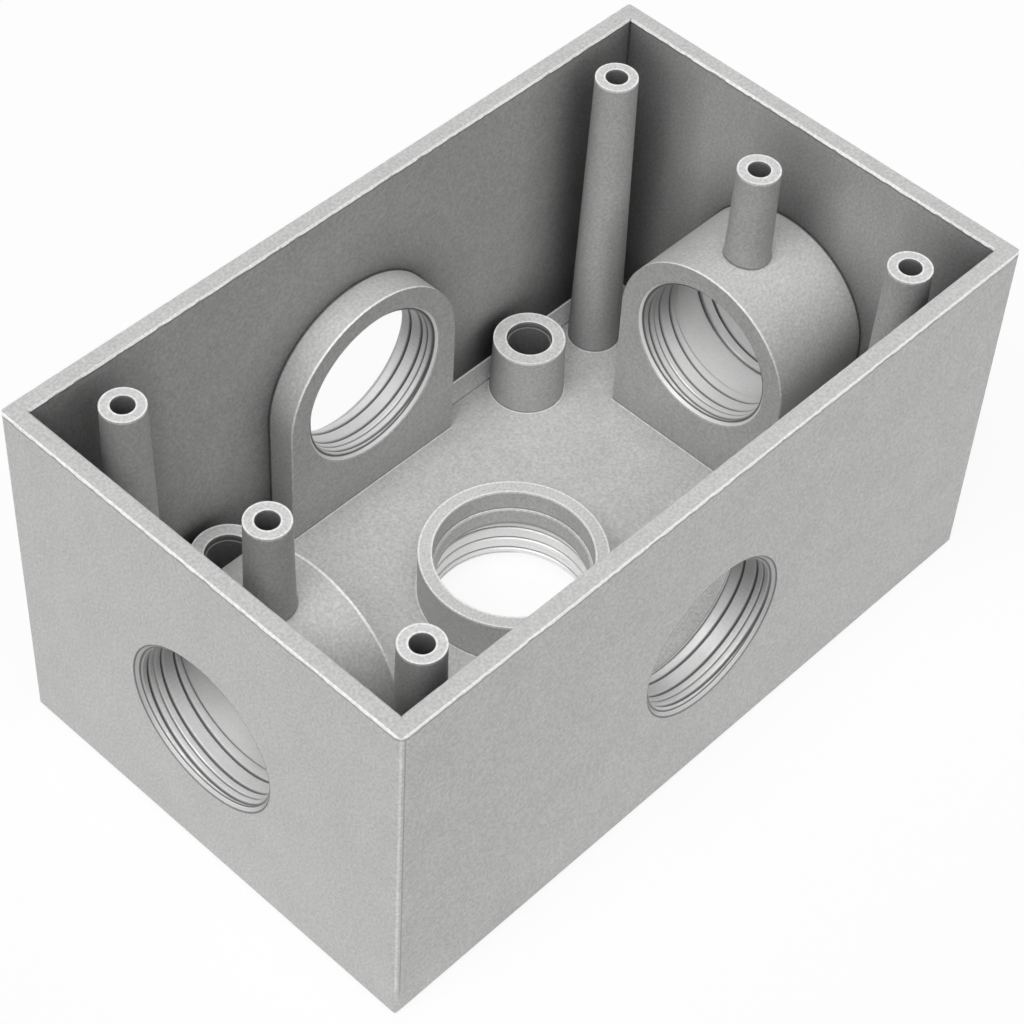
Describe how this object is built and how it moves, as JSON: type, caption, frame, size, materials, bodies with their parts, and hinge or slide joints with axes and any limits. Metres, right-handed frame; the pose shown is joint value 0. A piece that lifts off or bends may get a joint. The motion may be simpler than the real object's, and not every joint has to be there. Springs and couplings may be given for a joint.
{
  "type": "conduit box",
  "caption": "Cast rectangular conduit box, open on one side, with threaded round outlets in its walls and back, screw posts for a cover and bosses for fixing it to a wall.",
  "frame": {"origin": "middle of the flat back face, which the box stands on as modelled", "axes": "+X along the length, towards one end outlet; +Y towards one side outlet; +Z out of the open side"},
  "size_m": [0.1142, 0.0698, 0.0585],
  "materials": {
    "cast_aluminium": "fine matt casting skin, machined bright in the bores and on the rim"
  },
  "bodies": {
    "root": {"box_casting": "cast_aluminium"}
  },
  "joints": []
}
